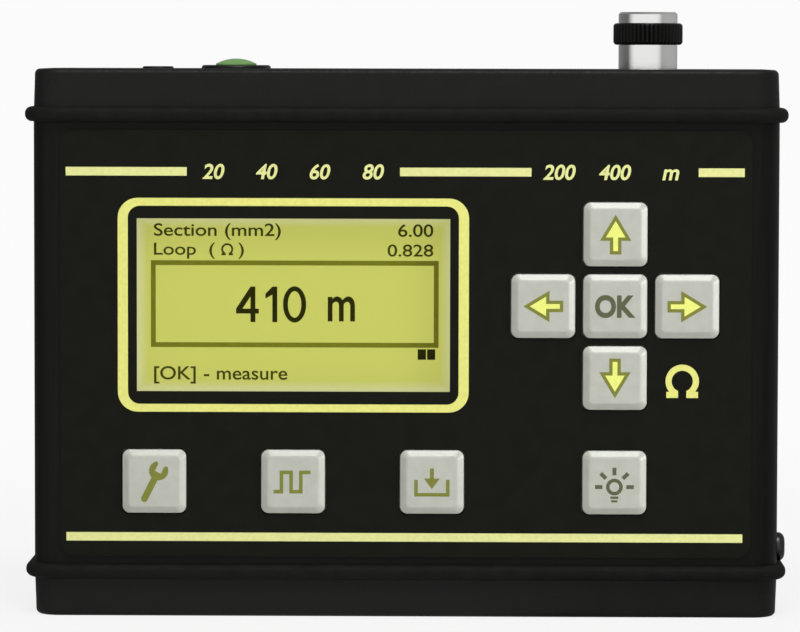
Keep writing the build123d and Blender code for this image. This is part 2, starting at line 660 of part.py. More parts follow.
def power_switch():
    """Switch body with a round bezel, a bore for the button and two solder tags."""
    bezel = post(POWER_FLANGE_RADIUS, 0, POWER_FLANGE)
    bezel = fillet(bezel.edges().sort_by(Axis.Z)[-1], 0.75 * POWER_FLANGE)
    body = bezel + post(POWER_THREAD_RADIUS, -POWER_LENGTH, 0.1)
    body -= post(POWER_BORE, -POWER_BORE_DEPTH, POWER_FLANGE)
    tag = Pos(0, 0, -POWER_LENGTH - POWER_TAG[2] / 2) * Box(*POWER_TAG)
    for side in (-1, 1):
        body += Pos(0, side * POWER_TAG_SPACING / 2, 0) * tag
    return power_place() * body


def power_button():
    """Domed round button."""
    radius = POWER_BORE - BUTTON_CLEARANCE
    rim = BUTTON_CROWN - BUTTON_DOME
    dome = TangentArc((0, BUTTON_CROWN), (radius, rim), tangent=(1, 0))
    sides = Polyline((radius, rim), (radius, -BUTTON_SKIRT), (0, -BUTTON_SKIRT), (0, BUTTON_CROWN))
    return power_place() * turned(make_face([dome, sides]))


def power_spring():
    """Coil spring between the button and the floor of its bore."""
    bottom = -POWER_BORE_DEPTH + SPRING_WIRE
    top = -BUTTON_SKIRT - SPRING_WIRE
    quarters = 4 * SPRING_TURNS

    def at(quarter):
        angle = quarter * math.pi / 2
        height = bottom + (top - bottom) * quarter / quarters
        return Vector(SPRING_RADIUS * math.cos(angle), SPRING_RADIUS * math.sin(angle), height)

    arcs = [ThreePointArc(at(step), at(step + 0.5), at(step + 1)) for step in range(quarters)]
    wire = Wire([arc.edge() for arc in arcs])
    section = Plane(origin=wire @ 0, z_dir=wire % 0) * Circle(SPRING_WIRE)
    return power_place() * sweep(section, path=wire)


def power_nut():
    nut = hex_nut(POWER_NUT_FLATS, POWER_NUT_HEIGHT, POWER_THREAD_RADIUS + THREAD_CLEARANCE)
    return power_place() * Pos(0, 0, -END_WALL - POWER_NUT_HEIGHT) * nut


def charge_place():
    return Pos(CHARGE_X, 0, CASE_HEIGHT)


def charge_socket():
    """Small round charging socket with a low flange."""
    flange = post(CHARGE_FLANGE_RADIUS, 0, CHARGE_FLANGE)
    flange = fillet(flange.edges().sort_by(Axis.Z)[-1], 0.75 * CHARGE_FLANGE)
    body = flange + post(CHARGE_THREAD_RADIUS, -CHARGE_LENGTH, 0.1)
    body -= post(CHARGE_BORE, -CHARGE_BORE_DEPTH, CHARGE_FLANGE)
    return charge_place() * (body - post(CHARGE_PIN_RADIUS + CONTACT_CLEARANCE, -CHARGE_LENGTH, 0))


def charge_pin():
    return charge_place() * post(CHARGE_PIN_RADIUS, -CHARGE_LENGTH, -CHARGE_PIN_BELOW_FACE)


def charge_nut():
    nut = hex_nut(CHARGE_NUT_FLATS, CHARGE_NUT_HEIGHT, CHARGE_THREAD_RADIUS + THREAD_CLEARANCE)
    return charge_place() * Pos(0, 0, -END_WALL - CHARGE_NUT_HEIGHT) * nut


def all_parts():
    """Every node of the instrument by name."""
    parts = {
        "case_profile": case_profile(),
        "top_cap": top_cap(),
        "bottom_cap": bottom_cap(),
        "top_seal": at_top(bottom_seal()),
        "bottom_seal": bottom_seal(),
        "top_cap_screws": at_top(bottom_cap_screws()),
        "bottom_cap_screws": bottom_cap_screws(),
        "side_screw": side_screw(),
        "front_overlay": front_overlay(),
        "display_window": display_window(),
        "display_gasket": display_gasket(),
        "display_frame": display_frame(),
        "display_glass": display_glass(),
        "display_backlight": display_backlight(),
        "display_board": display_board(),
        "display_spacers": display_spacers(),
        "display_screws": display_screws(),
        "display_nuts": display_nuts(),
        "front_board": front_board(),
        "key_switches": key_switches(),
        "main_board": main_board(),
        "board_link": board_link(),
        "relays": relays(),
        "main_chips": main_chips(),
        "battery_holder": battery_holder(),
        "battery_cells": battery_cells(),
        "battery_contacts": battery_contacts(),
        "socket_shell": socket_shell(),
        "socket_insert": socket_insert(),
        "socket_contacts": socket_contacts(),
        "socket_nut": socket_nut(),
        "lock_ring": lock_ring(),
        "power_switch": power_switch(),
        "power_button": power_button(),
        "power_spring": power_spring(),
        "power_nut": power_nut(),
        "charge_socket": charge_socket(),
        "charge_pin": charge_pin(),
        "charge_nut": charge_nut(),
    }
    for name, (x, z) in KEYS.items():
        parts[name] = key_cap(x, z)
        parts[name + "_plunger"] = key_plunger(x, z)
    return parts


os.makedirs("parts", exist_ok=True)
for name, part in all_parts().items():
    export_step(part, "parts/" + name + ".step")
print("case", CASE_WIDTH, "x", CASE_DEPTH, "x", CASE_HEIGHT)
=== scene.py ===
import json
import math

import bpy
from mathutils import Matrix, Quaternion, Vector


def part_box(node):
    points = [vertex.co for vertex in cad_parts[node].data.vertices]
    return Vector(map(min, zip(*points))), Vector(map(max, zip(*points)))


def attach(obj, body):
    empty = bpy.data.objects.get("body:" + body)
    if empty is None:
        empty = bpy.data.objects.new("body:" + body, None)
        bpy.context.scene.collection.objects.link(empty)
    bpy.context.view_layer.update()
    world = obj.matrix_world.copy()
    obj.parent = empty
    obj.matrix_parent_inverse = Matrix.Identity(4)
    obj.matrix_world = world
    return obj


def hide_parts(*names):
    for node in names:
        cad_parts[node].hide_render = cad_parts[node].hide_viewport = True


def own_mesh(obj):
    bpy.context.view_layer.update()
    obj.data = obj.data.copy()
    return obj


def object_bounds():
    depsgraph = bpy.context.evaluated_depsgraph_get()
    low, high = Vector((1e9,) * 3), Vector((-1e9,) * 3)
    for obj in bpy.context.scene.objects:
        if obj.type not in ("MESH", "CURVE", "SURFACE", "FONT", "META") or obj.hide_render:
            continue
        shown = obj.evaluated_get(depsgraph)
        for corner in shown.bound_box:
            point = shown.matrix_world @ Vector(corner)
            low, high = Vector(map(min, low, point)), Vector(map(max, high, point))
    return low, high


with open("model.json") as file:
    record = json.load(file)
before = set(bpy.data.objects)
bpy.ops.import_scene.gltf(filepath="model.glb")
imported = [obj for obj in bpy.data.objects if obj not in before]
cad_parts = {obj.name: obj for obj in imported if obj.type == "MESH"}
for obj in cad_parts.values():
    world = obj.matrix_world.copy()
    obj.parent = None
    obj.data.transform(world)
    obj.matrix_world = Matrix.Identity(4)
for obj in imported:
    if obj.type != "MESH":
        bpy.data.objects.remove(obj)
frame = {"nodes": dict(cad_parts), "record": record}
cad_low, cad_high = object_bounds()

# Lengths are in millimetres where no heading says metres, and colours are 8-bit display values.
MM = 0.001

# The photograph's frame and its camera, with angles in degrees
IMAGE_WIDTH = 800
FOCAL_PIXELS = 4417
SENSOR_WIDTH = 36.0
CAMERA_PLACE = (11.96, -1024.0, 128.71)
CAMERA_PITCH = 3.433
CAMERA_YAW = -0.759
CAMERA_ROLL = 0.123

# Studio, in metres and watts
CLIP_START = 0.05
CLIP_END = 200.0
FLOOR_RADIUS = 30.0
FLOOR_SIDES = 64
TOP_LAMP_PLACE = (0.1, -0.58, 1.15)
TOP_LAMP_SIZE = 0.5
TOP_LAMP_POWER = 8.5
SIDE_LAMP_PLACE = (1.08, -0.57, 0.22)
SIDE_LAMP_SIZE = 0.4
SIDE_LAMP_POWER = 6.8

# Slots of the nodes on the front that the side lamp lights
FRONT_SLOTS = ("overlay_film", "key_grey", "display_glass")

# Strengths of the fill on the surfaces, and of the white that the camera sees
FILL = 0.42
WHITE = 0.965

# The floor's linear grey, its share of white near the object, and the distances in metres between
# which that share rises to 1
FLOOR_GREY = (0.85, 0.85, 0.85)
FLOOR_NEAR_SHARE = 0.86
FLOOR_NEAR = 0.1
FLOOR_FAR = 0.5

# Reflections of floor and world: shares of white to the left and right, and the white front's
# direction and soft edge
MIRROR_LEFT_SHARE = 0.16
MIRROR_RIGHT_SHARE = 0.48
MIRROR_FRONT = (-0.21, -0.98, 0.0)
MIRROR_EDGE = (0.1, 0.75)

# Values of the noise between which colour and roughness run from one end to the other
COLOUR_NOISE = (0.35, 0.65)
ROUGHNESS_NOISE = (0.3, 0.7)

# Ink: its thickness, how far it sinks in, and the size of lettering before it is fitted to its box
INK_THICKNESS = 0.04
INK_SINK = 0.02
LETTER_SIZE = 10.0

# Steps in a quarter of a circle
ARC_STEPS = 8

# Printed lines, set in from the edges of the overlay
LINE_WIDTH = 1.95
TOP_LINE_DOWN = 9.4
BOTTOM_LINE_UP = 4.5
LINE_LEFT_INSET = 1.3
LINE_RIGHT_INSET = 1.8

# Openings of the top line in X, and the numbers spread over each
NUMBER_OPENINGS = ((-49.65, -1.35), (28.4, 66.2))
NUMBER_ROWS = (("20", "40", "60", "80"), ("200", "400", "m"))
NUMBER_HEIGHT = 3.5
NUMBER_BOLD = 0.22
NUMBER_SLANT = 0.2
LOW_LETTER_SHARE = 0.72

# Printed frame round the display window
FRAME_BEYOND_X = 2.08
FRAME_BEYOND_Z = 2.45
FRAME_SIDE_STROKE = 2.3
FRAME_END_STROKE = 1.8
FRAME_RADIUS = 4.5

# Unit sign below the right-hand arrow key, with its opening and feet as shares of its radius
UNIT_RADIUS = 3.1
UNIT_PEN = 1.4
UNIT_LEFT = 1.0
UNIT_DOWN = 0.7
UNIT_GAP_SHARE = 0.3
UNIT_FOOT_SHARE = 1.16

# Border of the window over the display, outside what is seen
WINDOW_BORDER = 2.2

# Display: the paler band along its edges, which is a painted backlight bleed, and the shares of its
# colour that it reflects and gives off; the glow stands for the backlight and is also set high to lift
# the shade in the window's recess
DISPLAY_BLEED_BAND = 2.2
DISPLAY_PAINT = 0.45
DISPLAY_GLOW = 0.74

# Picture on the display, in boxes (left, bottom, right, top) from the middle of the window
AREA_BOX = (-31.9, 14.6, -3.0, 18.4)
AREA_VALUE_BOX = (23.7, 15.4, 31.7, 18.3)
LOOP_BOX = (-31.9, 10.3, -11.4, 14.0)
LOOP_VALUE_BOX = (21.3, 10.9, 31.7, 13.7)
LENGTH_BOX = (-32.6, -9.85, 32.95, 9.95)
FOUR_BOX = (-13.2, -4.1, -8.0, 4.0)
ONE_BOX = (-6.5, -4.1, -3.8, 4.0)
ZERO_BOX = (-2.5, -4.2, 2.8, 4.1)
METRE_BOX = (7.7, -3.9, 13.9, 1.8)
CELL_BOXES = ((28.2, -12.6, 30.1, -10.2), (30.35, -12.6, 32.2, -10.2))
HINT_BOX = (-31.9, -18.2, -1.5, -14.2)

# Pens and letters of that picture
LOOP_UNIT_PLACE = (-15.2, 12.5)
LOOP_UNIT_RADIUS = 1.15
LOOP_UNIT_PEN = 0.45
LENGTH_BOX_PEN = 1.1
READING_PEN = 1.12
ROW_BOLD = 0.1
METRE_BOLD = 0.15

# Figures of the large reading, as shares of their pen, their height or the room for an opening
FOUR_BAR_BEYOND = 0.7
FOUR_BAR_UP = 0.24
FOUR_OPENING = 0.55
ONE_FLAG_DOWN = 0.2
ONE_FLAG_NOTCH = 0.2

# Arrows, given as half widths of stem and head, then heights of tail, neck and tip
KEY_ARROW = (1.3, 3.55, -4.5, -1.4, 4.5)
KEY_ARROW_EDGE = 0.75
STORE_ARROW = (0.45, 1.8, -3.2, -0.9, 1.5)

# Signs on the keys, from the middle of a key
OK_BOX = (-4.6, -2.6, 4.6, 2.6)
OK_BOLD = 0.42
SIGN_PEN = 0.8
PULSE_STEPS = (-4.4, -2.6, -0.4, 1.8, 4.0)
PULSE_HALF = 2.2
TRAY_HALF = 3.6
TRAY_TOP = 0.6
TRAY_BOTTOM = -2.8
BULB_HEIGHT = -0.9
BULB_RADII = (1.9, 1.1)
BULB_BASE = ((-0.9, -3.6, 0.9, -3.05), (-0.7, -4.4, 0.7, -3.9))
RAY_ANGLES = (0, 45, 90, 135, 180)
RAY_START = 2.7
RAY_END = 4.4
RAY_PEN = 0.9

# Spanner sign, along X before it is turned, with angles in degrees
SPANNER_END = -4.2
SPANNER_NECK = 0.9
SPANNER_HALF = 0.75
SPANNER_HEAD = 3.0
SPANNER_HEAD_RADIUS = 2.2
SPANNER_HEAD_ANGLES = (38, 150)
SPANNER_HEAD_STEPS = 6
SPANNER_THROAT = 2.6
SPANNER_TIP = 4.4
SPANNER_SHIFT = (-0.3, -0.2)
SPANNER_TURN = 63

# Coil spring of the power button
SPRING_WIRE = 0.35
SPRING_TURNS = 4
SPRING_TURN_STEPS = 24


def linear(value):
    """One 8-bit display value as linear light."""
    value = value / 255
    return value / 12.92 if value <= 0.04045 else ((value + 0.055) / 1.055) ** 2.4


def colour(red, green, blue):
    return tuple(linear(value) for value in (red, green, blue))


def shaded(tint, share):
    """A linear colour made darker or lighter."""
    return [min(1.0, share * value) for value in tint]


# Materials

def new_material(name, tint, roughness, metallic=0.0, specular=0.5):
    material = bpy.data.materials.new(name)
    material.use_nodes = True
    shader = shader_of(material)
    shader.inputs["Base Color"].default_value = (*tint, 1.0)
    shader.inputs["Roughness"].default_value = roughness
    shader.inputs["Metallic"].default_value = metallic
    shader.inputs["Specular IOR Level"].default_value = specular
    return material


def shader_of(material):
    return material.node_tree.nodes["Principled BSDF"]


def add_node(owner, kind, operation=None, **values):
    """Node of a material or of the world, with values for its inputs."""
    node = owner.node_tree.nodes.new(kind)
    if operation:
        node.operation = operation
    for name, value in values.items():
        node.inputs[name.replace("_", " ")].default_value = value
    return node


def link(owner, output, target):
    owner.node_tree.links.new(output, target)


def larger(owner, first, second):
    """The larger of two outputs."""
    node = add_node(owner, "ShaderNodeMath", "MAXIMUM")
    link(owner, first, node.inputs[0])
    link(owner, second, node.inputs[1])
    return node.outputs["Value"]


def grain(material, size, detail=3.0, stretch=(1.0, 1.0, 1.0)):
    """Noise with grains of this size in millimetres, longer along an axis where stretch is above 1."""
    place = add_node(material, "ShaderNodeTexCoord")
    mapping = add_node(material, "ShaderNodeMapping", Scale=[1 / (size * MM * s) for s in stretch])
    noise = add_node(material, "ShaderNodeTexNoise", Scale=1.0, Detail=detail)
    link(material, place.outputs["Object"], mapping.inputs["Vector"])
    link(material, mapping.outputs["Vector"], noise.inputs["Vector"])
    return noise.outputs["Fac"]


def ramp_of(material, source, start, end, low=0.0, high=1.0):
    """Colour that runs from start to end as a value goes from low to high."""
    ramp = add_node(material, "ShaderNodeValToRGB")
    first, last = ramp.color_ramp.elements
    first.position = low
    last.position = high
    first.color = (*start, 1.0)
    last.color = (*end, 1.0)
    link(material, source, ramp.inputs["Fac"])
    return ramp.outputs["Color"]


def vary_colour(material, source, dark, light):
    """Run the base colour from dark to light over a noise."""
    tint = ramp_of(material, source, dark, light, *COLOUR_NOISE)
    link(material, tint, shader_of(material).inputs["Base Color"])


def vary_roughness(material, source, smooth, rough):
    """Run the roughness from smooth to rough over a noise."""
    low, high = ROUGHNESS_NOISE
    spread = add_node(
        material, "ShaderNodeMapRange", From_Min=low, From_Max=high, To_Min=smooth, To_Max=rough
    )
    link(material, source, spread.inputs["Value"])
    link(material, spread.outputs["Result"], shader_of(material).inputs["Roughness"])


def add_bump(material, source, depth, strength=0.5):
    """Raise the surface by a noise of this depth in millimetres."""
    bump = add_node(material, "ShaderNodeBump", Strength=strength, Distance=depth * MM)
    link(material, source, bump.inputs["Height"])
    link(material, bump.outputs["Normal"], shader_of(material).inputs["Normal"])


def case_black():
    """Anodised extrusion with faint streaks along its length."""
    material = new_material("case_black", colour(16, 16, 14), roughness=0.45, specular=0.1)
    streaks = grain(material, size=0.5, stretch=(1.0, 1.0, 60.0))
    vary_colour(material, streaks, colour(13, 13, 11), colour(19, 19, 17))
    vary_roughness(material, streaks, smooth=0.4, rough=0.55)
    add_bump(material, grain(material, size=0.12), depth=0.02)
    return material


def cap_black():
    """Powder coat with a slight orange peel."""
    material = new_material("cap_black", colour(21, 21, 20), roughness=0.5, specular=0.15)
    peel = grain(material, size=0.7, detail=2.0)
    vary_colour(material, grain(material, size=6.0), colour(20, 20, 19), colour(23, 23, 22))
    vary_roughness(material, peel, smooth=0.42, rough=0.6)
    add_bump(material, peel, depth=0.05)
    return material


def overlay_film():
    """Matt printed film with a fine even texture."""
    material = new_material("overlay_film", colour(20, 21, 16), roughness=0.5, specular=0.06)
    vary_colour(material, grain(material, size=4.0), colour(19, 20, 15), colour(22, 23, 17))
    fine = grain(material, size=0.15)
    vary_roughness(material, fine, smooth=0.45, rough=0.6)
    add_bump(material, fine, depth=0.015)
    return material


def seal_rubber():
    material = new_material("seal_rubber", colour(19, 19, 18), roughness=0.7, specular=0.12)
    vary_colour(material, grain(material, size=3.0), colour(16, 16, 15), colour(22, 22, 21))
    add_bump(material, grain(material, size=0.25), depth=0.03)
    return material


def key_grey():
    """Moulded light grey plastic with a spark-eroded texture."""
    material = new_material("key_grey", colour(183, 185, 175), roughness=0.34, specular=0.7)
    vary_colour(material, grain(material, size=2.5), colour(181, 183, 172), colour(187, 189, 179))
    fine = grain(material, size=0.2)
    vary_roughness(material, fine, smooth=0.28, rough=0.4)
    add_bump(material, fine, depth=0.02, strength=0.3)
    return material


def button_green():
    material = new_material("button_green", colour(110, 160, 86), roughness=0.3)
    vary_colour(material, grain(material, size=2.0), colour(104, 154, 80), colour(116, 166, 92))
    add_bump(material, grain(material, size=0.3), depth=0.01, strength=0.3)
    return material


def socket_chrome():
    """Bright plate over turning marks, with a linear colour."""
    material = new_material("socket_chrome", (0.82, 0.82, 0.81), roughness=0.12, metallic=1.0)
    marks = grain(material, size=0.15, stretch=(40.0, 40.0, 1.0))
    vary_roughness(material, marks, smooth=0.08, rough=0.18)
    add_bump(material, marks, depth=0.004, strength=0.3)
    return material


def display_glow_with_painted_bleed(middle, half_width, half_height):
    """Backlit display: a yellow-green glow that also lifts the shade in the window's recess, with a
    painted pale backlight bleed along its edges.
    """
    inside, painted_bleed_tint = colour(199, 202, 97), colour(214, 216, 152)
    material = new_material("display_glass", inside, roughness=0.35, specular=0.2)
    place = add_node(material, "ShaderNodeTexCoord")
    offset = add_node(material, "ShaderNodeVectorMath", "SUBTRACT")
    offset.inputs[1].default_value = middle
    parts = add_node(material, "ShaderNodeSeparateXYZ")
    link(material, place.outputs["Object"], offset.inputs[0])
    link(material, offset.outputs["Vector"], parts.inputs["Vector"])
    shares = []
    for axis, half in (("X", half_width), ("Z", half_height)):
        size = add_node(material, "ShaderNodeMath", "ABSOLUTE")
        near = add_node(material, "ShaderNodeMapRange", From_Min=half - DISPLAY_BLEED_BAND * MM, From_Max=half)
        link(material, parts.outputs[axis], size.inputs[0])
        link(material, size.outputs["Value"], near.inputs["Value"])
        shares.append(near.outputs["Result"])
    # Share of the painted backlight bleed, rising towards the edges, in the base colour as well as the
    # glow
    edge = larger(material, *shares)
    paint = [shaded(tint, DISPLAY_PAINT) for tint in (inside, painted_bleed_tint)]
    shader = shader_of(material)
    link(material, ramp_of(material, edge, *paint), shader.inputs["Base Color"])
    link(material, ramp_of(material, edge, inside, painted_bleed_tint), shader.inputs["Emission Color"])
    # Glow for the backlight, set high enough to also lift the shade in the window's recess
    shader.inputs["Emission Strength"].default_value = DISPLAY_GLOW
    return material


def clear_window():
    material = new_material("clear_window", colour(30, 32, 30), roughness=0.06, specular=0.1)
    shader_of(material).inputs["Alpha"].default_value = 0.06
    vary_roughness(material, grain(material, size=8.0), smooth=0.04, rough=0.09)
    return material


def plain(name, tint, roughness, metallic=0.0, size=2.0, depth=0.01, specular=0.5):
    """Moulded, painted or plated finish with a slight unevenness."""
    material = new_material(name, tint, roughness, metallic, specular)
    source = grain(material, size)
    vary_colour(material, source, shaded(tint, 0.88), shaded(tint, 1.08))
    vary_roughness(material, source, smooth=0.85 * roughness, rough=min(1.0, 1.15 * roughness))
    add_bump(material, grain(material, size / 8), depth, strength=0.3)
    return material


def ink(name, tint, specular=0.3):
    """Screen ink with slight mottling."""
    material = new_material(name, tint, roughness=0.5, specular=specular)
    vary_colour(material, grain(material, size=0.8), shaded(tint, 0.95), shaded(tint, 1.03))
    add_bump(material, grain(material, size=0.2), depth=0.01, strength=0.3)
    return material


# Shapes drawn in X and Z, in millimetres

def arc(centre_x, centre_z, radius, start, end, steps=ARC_STEPS):
    """Points along an arc between two angles in degrees."""
    points = []
    for step in range(steps + 1):
        angle = math.radians(start + (end - start) * step / steps)
        points.append((centre_x + radius * math.cos(angle), centre_z + radius * math.sin(angle)))
    return points


def box_loop(left, bottom, right, top, radius=0.0):
    """Rectangle, with round corners where a radius is given."""
    if radius <= 0:
        return [(left, bottom), (right, bottom), (right, top), (left, top)]
    loop = arc(right - radius, bottom + radius, radius, -90, 0)
    loop += arc(right - radius, top - radius, radius, 0, 90)
    loop += arc(left + radius, top - radius, radius, 90, 180)
    return loop + arc(left + radius, bottom + radius, radius, 180, 270)


def circle_loop(centre_x, centre_z, radius):
    return arc(centre_x, centre_z, radius, 0, 360, 4 * ARC_STEPS)[:-1]


def oval_loop(left, bottom, right, top):
    """Upright oval that fills a box."""
    half_width, half_height = (right - left) / 2, (top - bottom) / 2
    circle = circle_loop(0, 0, 1)
    return [(left + half_width * (1 + x), bottom + half_height * (1 + z)) for x, z in circle]


def ring_loops(outer, stroke_x, stroke_z, radius=0.0):
    """A frame: a rectangle (left, bottom, right, top) and the opening inside it."""
    left, bottom, right, top = outer
    inner = (left + stroke_x, bottom + stroke_z, right - stroke_x, top - stroke_z)
    return [box_loop(*outer, radius), box_loop(*inner, radius - min(stroke_x, stroke_z))]


def stroke_loop(points, width):
    """Outline of an open line drawn with a pen of this width."""
    vectors = [Vector(point) for point in points]
    sides = []
    for index, point in enumerate(vectors):
        before = (point - vectors[index - 1]).normalized() if index else None
        after = (vectors[index + 1] - point).normalized() if index + 1 < len(vectors) else None
        along = ((before or after) + (after or before)).normalized()
        across = Vector((-along.y, along.x))
        sides.append(across * width / 2 / (after or before).dot(along))
    there = [tuple(point + side) for point, side in zip(vectors, sides)]
    back = [tuple(point - side) for point, side in zip(vectors, sides)]
    return there + back[::-1]


def moved(loops, step_x, step_z, turn=0.0):
    """Loops turned about the origin by an angle in degrees, then moved."""
    cos, sin = math.cos(math.radians(turn)), math.sin(math.radians(turn))
    result = []
    for loop in loops:
        result.append([(x * cos - z * sin + step_x, x * sin + z * cos + step_z) for x, z in loop])
    return result


def shifted(box, step_x, step_z):
    """A box (left, bottom, right, top) moved."""
    left, bottom, right, top = box
    return left + step_x, bottom + step_z, right + step_x, top + step_z


def grown(loop, amount):
    """A loop drawn anticlockwise, moved outwards by an amount."""
    vectors = [Vector(point) for point in loop]
    result = []
    for index, point in enumerate(vectors):
        before = (point - vectors[index - 1]).normalized()
        after = (vectors[(index + 1) % len(vectors)] - point).normalized()
        along = (before + after).normalized()
        across = Vector((along.y, -along.x))
        result.append(tuple(point + across * amount / before.dot(along)))
    return result


# Pieces

pieces = []


def add_piece(name, mesh, material, body):
    piece = bpy.data.objects.new(name, mesh)
    bpy.context.scene.collection.objects.link(piece)
    mesh.materials.clear()
    mesh.materials.append(material)
    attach(piece, body)
    pieces.append(piece)
    return piece


def mesh_of(curve, name):
    """The mesh of a curve, filled or thickened as the curve's own settings say."""
    holder = bpy.data.objects.new(name + "_curve", curve)
    bpy.context.scene.collection.objects.link(holder)
    evaluated = holder.evaluated_get(bpy.context.evaluated_depsgraph_get())
    mesh = bpy.data.meshes.new_from_object(evaluated)
    mesh.name = name
    bpy.data.objects.remove(holder)
    bpy.data.curves.remove(curve)
    return mesh


def stand_up(mesh, face):
    """Turn a flat mesh in millimetres upright onto a surface whose front is at Y = face, in metres."""
    middle = face - (INK_THICKNESS / 2 - INK_SINK) * MM
    turn = Matrix.Rotation(math.pi / 2, 4, "X")
    mesh.transform(Matrix.Translation((0, middle, 0)) @ turn @ Matrix.Scale(MM, 4))


def print_loops(name, loops, face, material, body):
    """Ink in the shape of closed loops, open where one lies in another."""
    curve = bpy.data.curves.new(name, "CURVE")
    curve.dimensions = "2D"
    curve.fill_mode = "BOTH"
    curve.extrude = INK_THICKNESS / 2
    for loop in loops:
        spline = curve.splines.new("POLY")
        spline.points.add(len(loop) - 1)
        for point, (x, z) in zip(spline.points, loop):
            point.co = (x, z, 0, 1)
        spline.use_cyclic_u = True
    mesh = mesh_of(curve, name)
    stand_up(mesh, face)
    add_piece(name, mesh, material, body)


def print_text(name, text, box, face, material, body, bold=0.0, slant=0.0, own_width=False):
    """Lettering fitted to a box (left, bottom, right, top), or to its height and middle."""
    left, bottom, right, top = box
    curve = bpy.data.curves.new(name, "FONT")
    curve.body = text
    curve.size = LETTER_SIZE
    curve.offset = bold
    curve.shear = slant
    curve.extrude = INK_THICKNESS / 2
    mesh = mesh_of(curve, name)
    xs = [vertex.co.x for vertex in mesh.vertices]
    ys = [vertex.co.y for vertex in mesh.vertices]
    scale_z = (top - bottom) / (max(ys) - min(ys))
    scale_x = (right - left) / (max(xs) - min(xs))
    if own_width:
        left = (left + right - scale_z * (max(xs) - min(xs))) / 2
        scale_x = scale_z
    fit = Matrix.Translation((left, bottom, 0)) @ Matrix.Diagonal((scale_x, scale_z, 1, 1))
    mesh.transform(fit @ Matrix.Translation((-min(xs), -min(ys), 0)))
    stand_up(mesh, face)
    add_piece(name, mesh, material, body)


def ohm_loops(centre_x, centre_z, radius, pen):
    """Unit sign: a ring open below, on two feet."""
    outer, inner = radius + pen / 2, radius - pen / 2
    gap, foot, low = UNIT_GAP_SHARE * radius, UNIT_FOOT_SHARE * radius, -outer
    start = math.degrees(math.asin((low + pen) / outer))
    end = math.degrees(math.acos(gap / inner))
    loop = [(gap, low), (foot, low), (foot, low + pen)]
    loop += arc(0, 0, outer, start, 180 - start, 3 * ARC_STEPS)
    loop += [(-foot, low + pen), (-foot, low), (-gap, low)]
    loop += arc(0, 0, inner, 180 + end, -end, 3 * ARC_STEPS)
    return moved([loop], centre_x, centre_z)


def middle_of(node):
    """Middle of a node's box in X and Z, in millimetres."""
    low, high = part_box(node)
    return (low.x + high.x) / 2 / MM, (low.z + high.z) / 2 / MM


def line_loop(left, right, height):
    return box_loop(left, height - LINE_WIDTH / 2, right, height + LINE_WIDTH / 2)


def front_print():
    """Lines, numbers, display frame and unit sign on the overlay."""
    pale = ink("ink_pale_yellow", colour(228, 230, 152))
    strong = ink("ink_yellow", colour(230, 230, 128))
    low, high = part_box("front_overlay")
    face = low.y
    left, right = low.x / MM + LINE_LEFT_INSET, high.x / MM - LINE_RIGHT_INSET
    top, bottom = high.z / MM - TOP_LINE_DOWN, low.z / MM + BOTTOM_LINE_UP

    def put(name, loops, material):
        print_loops("print_" + name, loops, face, material, "case")

    ends = [left, *NUMBER_OPENINGS[0], *NUMBER_OPENINGS[1], right]
    lines = [line_loop(start, end, top) for start, end in zip(ends[::2], ends[1::2])]
    put("lines", lines + [line_loop(left, right, bottom)], pale)

    for (start, end), row in zip(NUMBER_OPENINGS, NUMBER_ROWS):
        cell = (end - start) / len(row)
        base = top - NUMBER_HEIGHT / 2
        for index, text in enumerate(row):
            height = NUMBER_HEIGHT if text.isdigit() else LOW_LETTER_SHARE * NUMBER_HEIGHT
            box = (start + index * cell, base, start + (index + 1) * cell, base + height)
            print_text(
                "print_range_" + text, text, box, face, pale, "case",
                bold=NUMBER_BOLD, slant=NUMBER_SLANT, own_width=True,
            )

    low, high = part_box("display_window")
    outer = (
        low.x / MM - FRAME_BEYOND_X,
        low.z / MM - FRAME_BEYOND_Z,
        high.x / MM + FRAME_BEYOND_X,
        high.z / MM + FRAME_BEYOND_Z,
    )
    put("display_frame", ring_loops(outer, FRAME_SIDE_STROKE, FRAME_END_STROKE, FRAME_RADIUS), strong)

    unit_x, unit_z = middle_of("key_right")[0] - UNIT_LEFT, middle_of("key_down")[1] - UNIT_DOWN
    put("unit", ohm_loops(unit_x, unit_z, UNIT_RADIUS, UNIT_PEN), strong)


# Figures of the large reading, each in a box (left, bottom, right, top)

def four_loops(left, bottom, right, top, pen):
    """Post, crossbar and slanted flag, with a three-cornered opening."""
    post = right - FOUR_BAR_BEYOND * pen
    bar = bottom + FOUR_BAR_UP * (top - bottom)
    corner_x, corner_z = post - pen, bar + pen
    outer = [(corner_x, bottom), (post, bottom), (post, bar), (right, bar), (right, corner_z)]
    outer += [(post, corner_z), (post, top), (corner_x, top)]
    outer += [(left, corner_z), (left, bar), (corner_x, bar)]
    opening_x, opening_z = FOUR_OPENING * (corner_x - left), FOUR_OPENING * (top - corner_z)
    inner = [(corner_x, corner_z), (corner_x, corner_z + opening_z), (corner_x - opening_x, corner_z)]
    return [outer, inner]


def one_loops(left, bottom, right, top, pen):
    """Post with a flag."""
    post, flag = right - pen, top - ONE_FLAG_DOWN * (top - bottom)
    loop = [(post, bottom), (right, bottom), (right, top), (post, top)]
    loop += [(left, flag), (left, flag - pen), (post, flag - ONE_FLAG_NOTCH * pen)]
    return [loop]


def zero_loops(left, bottom, right, top, pen):
    return [
        oval_loop(left, bottom, right, top),
        oval_loop(left + pen, bottom + pen, right - pen, top - pen),
    ]


